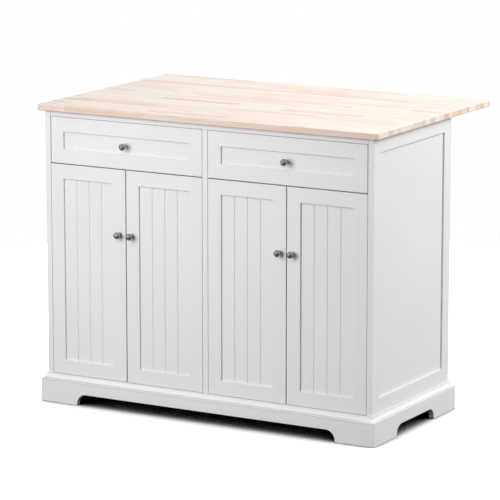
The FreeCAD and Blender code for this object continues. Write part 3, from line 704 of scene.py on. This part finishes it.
class ISLAND_OT_body(bpy.types.Operator):
    """Model the cabinet's sides, back, partition, rails and shelves"""

    bl_idname = "island.body"
    bl_label = "Cabinet body"

    def execute(self, context):
        settings = context.scene.island_joinery
        for side, sign in (("left", -1), ("right", 1)):
            self.side(side, sign, settings)
        self.back(settings)
        for node in ("centre_partition", "bottom_panel"):
            piece = eased(block(node + "_board", *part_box(node)), settings.eased_edge)
            finished(piece, "cabinet", node)
        self.shelves(settings)
        self.rails(settings)
        return {"FINISHED"}

    def side(self, side, sign, settings):
        """A framed side, its panel set in from outside and flush inside."""
        node = side + "_side_frame"
        low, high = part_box(node)
        rail = settings.body_rail
        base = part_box("base_moulding")[1].z
        opening = (low.y + rail, high.y - rail, base + rail, high.z - rail)
        piece = framework(side + "_side_framing", low, high, [opening], 1, settings.eased_edge)
        finished(piece, "cabinet", node)
        outer, inner = (high.x, low.x) if sign > 0 else (low.x, high.x)
        faces = sorted((inner, outer - sign * settings.recess))
        panel = eased(field(side + "_side_field", opening, 1, faces), settings.eased_edge / 2)
        finished(panel, "cabinet", "side_panels")

    def back(self, settings):
        """The back's three stiles and four rails, and two panels."""
        low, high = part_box("back_frame")
        rail, middle = settings.body_rail, settings.centre_stile / 2
        bottom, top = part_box("base_moulding")[1].z + rail, high.z - rail
        openings = [(low.x + rail, -middle, bottom, top), (middle, high.x - rail, bottom, top)]
        piece = framework("back_framing", low, high, openings, 0, settings.eased_edge)
        finished(piece, "cabinet", "back_frame")
        faces = [corner.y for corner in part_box("back_panels")]
        panels = [eased(field("back_field", opening, 0, faces), settings.eased_edge / 2)
                  for opening in openings]
        finished(joined("back_fields", panels), "cabinet", "back_panels")

    def shelves(self, settings):
        """Two adjustable shelves with rounded edges."""
        low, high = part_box("adjustable_shelves")
        end_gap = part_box("right_side_frame")[0].x - high.x
        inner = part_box("centre_partition")[1].x + end_gap
        boards = [
            eased(block("shelf", (inner, low.y, low.z), high), settings.eased_edge),
            eased(block("shelf", low, (-inner, high.y, high.z)), settings.eased_edge),
        ]
        finished(joined("shelf_boards", boards), "cabinet", "adjustable_shelves")

    def rails(self, settings):
        """The top rails, front and back, and the two stretchers under the drawers."""
        low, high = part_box("carcass_rails")
        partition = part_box("centre_partition")[1]
        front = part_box("left_outer_door_frame")[1].y + STRETCHER_GAP
        boards = [
            block("rail", (low.x, low.y, partition.z), (high.x, low.y + TOP_RAIL_DEPTH, high.z)),
            block("rail", (low.x, high.y - TOP_RAIL_DEPTH, partition.z), high),
        ]
        for start, end in ((low.x, -partition.x), (partition.x, high.x)):
            boards.append(block("rail", (start, front, low.z),
                                (end, front + TOP_RAIL_DEPTH, low.z + STRETCHER_THICKNESS)))
        boards = [eased(board, settings.eased_edge) for board in boards]
        finished(joined("rail_boards", boards), "cabinet", "carcass_rails")


class ISLAND_OT_plinth(bpy.types.Operator):
    """Model the plinth's four arched boards and the base moulding"""

    bl_idname = "island.plinth"
    bl_label = "Plinth and moulding"

    def execute(self, context):
        settings = context.scene.island_joinery
        self.board("front", 0, -Y, settings.front_foot, settings)
        self.board("back", 0, Y, settings.front_foot, settings)
        self.board("left", 1, -X, settings.side_foot, settings)
        self.board("right", 1, X, settings.side_foot, settings)
        self.moulding()
        return {"FINISHED"}

    def board(self, place, across, out, foot, settings):
        """One mitred board with its arched cut-out; across is 0 or 1, the axis of its length."""
        node = "plinth_" + place
        low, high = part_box(node)
        piece = block(node + "_board", low, high)
        with Editing(piece) as mode:
            for end, corner in ((-1, low.copy()), (1, high.copy())):
                corner.z = 0
                corner[1 - across] = (high if out[1 - across] > 0 else low)[1 - across]
                normal = ((X, Y)[across] * end - out).normalized()
                mode.slice(corner, normal, clear_outer=True, use_fill=True)
        cutter_low, cutter_high = low - ARCH_OVERRUN, high + ARCH_OVERRUN
        cutter_low[across] = low[across] + foot
        cutter_high[across] = high[across] - foot
        cutter_high.z = low.z + settings.arch_height
        cutter = block("arch_cutter", cutter_low, cutter_high)
        with Editing(cutter) as mode:
            mode.select("edges", lambda edge: edge_along(edge, 2, cutter_high.z, across))
            bpy.ops.mesh.bevel(offset=settings.arch_radius, segments=14)
        choose(piece)
        cut = piece.modifiers.new("arch", "BOOLEAN")
        cut.operation = "DIFFERENCE"
        cut.solver = "EXACT"
        cut.object = cutter
        bpy.ops.object.modifier_apply(modifier=cut.name)
        bpy.data.objects.remove(cutter)
        eased(piece, settings.eased_edge, angle=35.0)
        finished(piece, "cabinet", node)

    def section(self, bottom, top, out):
        """The moulding's section from foot to top: (distance out from the cabinet, height)."""
        points = []
        for step in range(SECTION_STEPS + 1):
            turn = math.radians(-90 + 180 * step / SECTION_STEPS)
            points.append((out - BEAD_RADIUS + BEAD_RADIUS * math.cos(turn),
                           bottom + BEAD_RADIUS + BEAD_RADIUS * math.sin(turn)))
        ledge = out - BEAD_RADIUS - LEDGE_STEP
        cove_low, cove_high = bottom + BEAD_RADIUS + LEDGE_HEIGHT, top - LIP_HEIGHT
        points.append((ledge, bottom + 2 * BEAD_RADIUS))
        for step in range(SECTION_STEPS + 1):
            turn = math.radians(90 * step / SECTION_STEPS)
            points.append((LIP_DEPTH + (ledge - LIP_DEPTH) * (1 - math.sin(turn)),
                           cove_high - (cove_high - cove_low) * math.cos(turn)))
        points.append((LIP_DEPTH, top))
        return points

    def moulding(self):
        """A ring of moulding round the cabinet, each level drawn in to the section."""
        low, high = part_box("base_moulding")
        inner_low, inner_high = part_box("left_side_frame")[0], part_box("right_side_frame")[1]
        middle = (low + high) / 2
        half = (high - low) / 2
        inner_half = (inner_high - inner_low) / 2
        section = self.section(low.z, high.z, inner_low.x - low.x)
        piece = block("base_moulding_ring", low, high)
        with Editing(piece) as mode:
            mode.select("faces", lambda face: abs(face.normal.z) > 0.9)
            bpy.ops.mesh.inset(thickness=half.x - inner_half.x, use_individual=True)
            bpy.ops.mesh.bridge_edge_loops()
            for distance, height in section:
                if low.z + 1e-5 < height < high.z - 1e-5:
                    mode.slice(Z * height, Z)
            for distance, height in section:
                mode.select("verts", lambda vert: near(vert.co.z, height, 4e-6)
                            and (abs(vert.co.x) > inner_half.x + 1e-4
                                 or abs(vert.co.y - middle.y) > inner_half.y + 1e-4))
                size = ((inner_half.x + distance) / half.x, (inner_half.y + distance) / half.y, 1.0)
                bpy.ops.transform.resize(value=size, center_override=(middle.x, middle.y, height))
        choose(piece)
        bpy.ops.object.shade_smooth_by_angle(angle=math.radians(32))
        finished(piece, "cabinet", "base_moulding")


class ISLAND_OT_doors(bpy.types.Operator):
    """Model the four doors: a frame round a panel of grooved boards"""

    bl_idname = "island.doors"
    bl_label = "Doors"

    def execute(self, context):
        settings = context.scene.island_joinery
        for door in DOORS:
            low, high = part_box(door + "_frame")
            low.z -= settings.tighter
            if door in ("left_outer_door", "right_inner_door"):     # hinged at the left
                low.x -= settings.tighter
            else:
                high.x += settings.tighter
            opening = front_frame(door, door + "_frame", low, high, settings)
            self.boards(door, low.y + settings.recess, opening, settings)
        return {"FINISHED"}

    def boards(self, door, face, opening, settings):
        """A panel of tongue-and-groove boards with V joints."""
        node = door + "_panel"
        panel = field(door + "_boards", opening, 0, (face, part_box(node)[1].y))
        start, end = opening[:2]
        pitch = (end - start) / settings.boards
        half = settings.groove_width / 2
        with Editing(panel) as mode:
            for number in range(1, settings.boards):
                middle = start + number * pitch
                for place in (middle - half, middle, middle + half):
                    mode.slice(X * place, X)
                mode.select("verts", lambda vert: near(vert.co.x, middle) and near(vert.co.y, face))
                bpy.ops.transform.translate(value=(0, settings.groove_depth, 0))
        eased(panel, settings.eased_edge / 3, angle=20.0)
        finished(panel, door, node)


class ISLAND_OT_drawers(bpy.types.Operator):
    """Model the two drawers: framed fronts and open boxes"""

    bl_idname = "island.drawers"
    bl_label = "Drawers"

    def execute(self, context):
        settings = context.scene.island_joinery
        for drawer in DRAWERS:
            self.front(drawer, settings)
            self.box(drawer, settings)
        return {"FINISHED"}

    def front(self, drawer, settings):
        """The drawer front's frame and flat panel."""
        low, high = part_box(drawer + "_front_frame")
        high.z += settings.tighter
        if drawer == "left_drawer":
            high.x += settings.tighter
        else:
            low.x -= settings.tighter
        opening = front_frame(drawer, drawer + "_front_frame", low, high, settings)
        panel = field(drawer + "_field", opening, 0, (low.y + settings.recess, high.y))
        eased(panel, settings.eased_edge / 2)
        finished(panel, drawer, drawer + "_front_panel")

    def box(self, drawer, settings):
        """The drawer box: sides, inner front, back and thin bottom."""
        low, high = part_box(drawer + "_box")
        inner_low, inner_high = low.x + DRAWER_WALL, high.x - DRAWER_WALL
        bottom = low.z + DRAWER_BOTTOM_LIFT
        boards = [
            block("wall", low, (inner_low, high.y, high.z)),
            block("wall", (inner_high, low.y, low.z), high),
            block("wall", (inner_low, low.y, low.z), (inner_high, low.y + DRAWER_WALL, high.z)),
            block("wall", (inner_low, high.y - DRAWER_WALL, low.z), (inner_high, high.y, high.z)),
            block("wall", (low.x + DRAWER_GROOVE, low.y + DRAWER_GROOVE, bottom),
                  (high.x - DRAWER_GROOVE, high.y - DRAWER_GROOVE, bottom + DRAWER_BOTTOM)),
        ]
        boards = [eased(board, settings.eased_edge) for board in boards]
        finished(joined(drawer + "_box_boards", boards), drawer, drawer + "_box", "drawer_wood")


class ISLAND_OT_knobs(bpy.types.Operator):
    """Turn one knob and copy it to every door and drawer"""

    bl_idname = "island.knobs"
    bl_label = "Knobs"

    def execute(self, context):
        first, *others = DOORS + DRAWERS
        knob = self.turned(first + "_turned_knob", *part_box(first + "_knob"))
        for body in others:
            twin = copied(knob, body + "_turned_knob", self.centre(body) - self.centre(first))
            finished(twin, body, body + "_knob", "knob_metal")
        finished(knob, first, first + "_knob", "knob_metal")
        return {"FINISHED"}

    def centre(self, body):
        """The middle of a knob's front."""
        low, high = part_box(body + "_knob")
        return Vector(((low.x + high.x) / 2, low.y, (low.z + high.z) / 2))

    def turned(self, name, low, high):
        """A knob drawn out ring by ring from its foot to its crown."""
        radius = (high.x - low.x) / 2
        x, z = (low.x + high.x) / 2, (low.z + high.z) / 2
        share, depth = KNOB_RINGS[0]
        deselect()
        bpy.ops.mesh.primitive_circle_add(
            vertices=40, radius=radius * share, fill_type="NGON",
            location=(x, low.y + depth / 1000, z), rotation=(math.radians(90), 0, 0))
        piece = settle(bpy.context.active_object, name)
        with Editing(piece):
            bpy.ops.mesh.select_mode(type="FACE")
            bpy.ops.mesh.select_all(action="SELECT")
            for (share, depth), (next_share, next_depth) in zip(KNOB_RINGS, KNOB_RINGS[1:]):
                move = (next_depth - depth) / 1000
                bpy.ops.mesh.extrude_region_move(TRANSFORM_OT_translate={"value": (0, move, 0)})
                factor = next_share / share
                centre = (x, low.y + next_depth / 1000, z)
                bpy.ops.transform.resize(value=(factor, 1, factor), center_override=centre)
            bpy.ops.mesh.select_all(action="SELECT")
            bpy.ops.mesh.normals_make_consistent(inside=False)
        choose(piece)
        bpy.ops.object.shade_smooth_by_angle(angle=math.radians(40))
        return piece


class ISLAND_OT_supports(bpy.types.Operator):
    """Model the two painted arms that carry the raised leaf"""

    bl_idname = "island.supports"
    bl_label = "Leaf supports"

    def execute(self, context):
        for side in ("left", "right"):
            self.arm(side + "_support_arm", context.scene.island_joinery.eased_edge)
        return {"FINISHED"}

    def arm(self, node, edge_width):
        """An arm, round at its pivot and tapered from below to its tip."""
        low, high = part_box(node)
        piece = block(node + "_bar", low, high)
        with Editing(piece) as mode:
            mode.slice(Y * (low.y + ARM_TAPER_START * (high.y - low.y)), Y)
            mode.select("verts", lambda vert: near(vert.co.y, high.y) and near(vert.co.z, low.z))
            bpy.ops.transform.translate(value=(0, 0, ARM_TAPER_RISE))
            mode.select("edges", lambda edge: edge_along(edge, 1, low.y, 2))
            bpy.ops.mesh.bevel(offset=(high.z - low.z) / 2 * ARM_ROUNDNESS, segments=12)
            mode.select("edges", lambda edge: edge_along(edge, 1, high.y, 2))
            bpy.ops.mesh.bevel(offset=ARM_CORNER, segments=4)
        eased(piece, edge_width)
        finished(piece, node, node)


class ISLAND_OT_fittings(bpy.types.Operator):
    """Give the frame's own hinges, runners, brackets, pins and screws their finish"""

    bl_idname = "island.fittings"
    bl_label = "Plated fittings"

    def execute(self, context):
        slots = {row["node"]: row["material_slot"] for row in frame["record"]["subparts"]}
        for node, piece in frame["nodes"].items():
            piece.data.materials.clear()
            piece.data.materials.append(finish_for(slots[node]))
        return {"FINISHED"}


class ISLAND_OT_stage(bpy.types.Operator):
    """Set the floor, the lights and the camera"""

    bl_idname = "island.stage"
    bl_label = "Stage"

    def execute(self, context):
        settings = context.scene.island_stage
        self.floor()
        for name, place, width, power, glossy, diffuse in LIGHTS:
            self.light(name, place, width, getattr(settings, power), glossy, diffuse)
        self.room(settings.sky)
        self.camera(settings)
        context.scene.view_settings.view_transform = "Standard"
        return {"FINISHED"}

    def floor(self):
        """A pale round floor with a painted shadow, dark only close to the plinth and under the cabinet.
        """
        deselect()
        just_below = (0, 0, -0.0005)
        bpy.ops.mesh.primitive_circle_add(vertices=96, radius=2.6, fill_type="NGON", location=just_below)
        floor = settle(bpy.context.active_object, "studio_floor")
        finish = Finish("studio floor")
        pale = finish.mixed(finish.noise(0.6), (1.55,) * 3, (1.60,) * 3)
        # Painted shadow: the floor turns black where the cabinet is within 16 cm
        painted_shadow_mask = finish.span(finish.crevice(0.16), 0.30, 0.86)
        tone = finish.mixed(painted_shadow_mask, (0.0,) * 3, pale)
        seen = finish.node("LightPath").outputs["Is Camera Ray"]
        tone = finish.mixed(seen, (0.05,) * 3, tone)        # it throws little light back up
        finish.set(Base_Color=tone, Roughness=0.95, Specular_IOR_Level=0.0)
        floor.data.materials.append(finish.material)

    def light(self, name, place, width, power, glossy, diffuse):
        """A square light aimed at the cabinet."""
        deselect()
        bpy.ops.object.light_add(type="AREA", location=place)
        lamp = bpy.context.active_object
        lamp.name = name
        lamp.data.shape = "SQUARE"
        lamp.data.size = width
        lamp.data.energy = power
        lamp.visible_glossy = glossy
        lamp.visible_diffuse = diffuse
        lamp.rotation_euler = (LIGHT_AIM - Vector(place)).to_track_quat("-Z", "Y").to_euler()

    def room(self, strength):
        """Even light that is dark low down, brightest a little higher, and softer overhead."""
        world = bpy.data.worlds.new("pale room")
        bpy.context.scene.world = world
        world.use_nodes = True
        nodes, link = world.node_tree.nodes, world.node_tree.links.new
        direction, parts, height, seen, level = (
            nodes.new("ShaderNode" + kind)
            for kind in ("TexCoord", "SeparateXYZ", "ValToRGB", "LightPath", "Mix"))
        elements = height.color_ramp.elements
        for number, (place, share) in enumerate(((0.08, 0.0), (0.26, 1.0), (0.6, 0.85), (1.0, 0.45))):
            if number > 1:
                elements.new(place)
            elements[number].position = place
            elements[number].color = (share * strength,) * 3 + (1.0,)
        level.inputs["B"].default_value = 1.0
        background = nodes["Background"]
        background.inputs["Color"].default_value = (1.0,) * 4
        link(direction.outputs["Generated"], parts.inputs[0])
        link(parts.outputs["Z"], height.inputs["Fac"])
        link(seen.outputs["Is Camera Ray"], level.inputs["Factor"])
        link(height.outputs[0], level.inputs["A"])
        link(level.outputs[0], background.inputs["Strength"])

    def camera(self, settings):
        """A long lens at the front right, a little above the worktop's height."""
        turn, rise = settings.azimuth, settings.elevation
        back = Vector((math.sin(turn) * math.cos(rise), -math.cos(turn) * math.cos(rise),
                       math.sin(rise)))
        deselect()
        bpy.ops.object.camera_add(location=Vector(settings.target) + back * settings.distance)
        camera = bpy.context.active_object
        camera.rotation_euler = (-back).to_track_quat("-Z", "Y").to_euler()
        camera.data.lens = settings.lens
        camera.data.sensor_width = 36.0
        camera.data.clip_end = 200.0
        bpy.context.scene.camera = camera


OPERATORS = (
    ISLAND_OT_worktop, ISLAND_OT_body, ISLAND_OT_plinth, ISLAND_OT_doors, ISLAND_OT_drawers,
    ISLAND_OT_knobs, ISLAND_OT_supports, ISLAND_OT_fittings, ISLAND_OT_stage,
)


class ISLAND_PT_sidebar(bpy.types.Panel):
    """The island's sizes, colours and steps"""

    bl_idname = "ISLAND_PT_sidebar"
    bl_label = "Kitchen island"
    bl_space_type = "VIEW_3D"
    bl_region_type = "UI"
    bl_category = "Island"

    def draw(self, context):
        for name, group in SETTINGS:
            column = self.layout.box().column()
            for key in group.__annotations__:
                column.prop(getattr(context.scene, name), key)
        for operator in OPERATORS:
            self.layout.operator(operator.bl_idname)


def register():
    for name, group in SETTINGS:
        bpy.utils.register_class(group)
        setattr(bpy.types.Scene, name, PointerProperty(type=group))
    for kind in OPERATORS + (ISLAND_PT_sidebar,):
        bpy.utils.register_class(kind)


def unregister():
    for kind in reversed(OPERATORS + (ISLAND_PT_sidebar,)):
        bpy.utils.unregister_class(kind)
    for name, group in reversed(SETTINGS):
        delattr(bpy.types.Scene, name)
        bpy.utils.unregister_class(group)


def main():
    """Make every piece and the stage."""
    register()
    for operator in OPERATORS:
        group, step = operator.bl_idname.split(".")
        getattr(getattr(bpy.ops, group), step)()


if __name__ == "__main__":
    main()
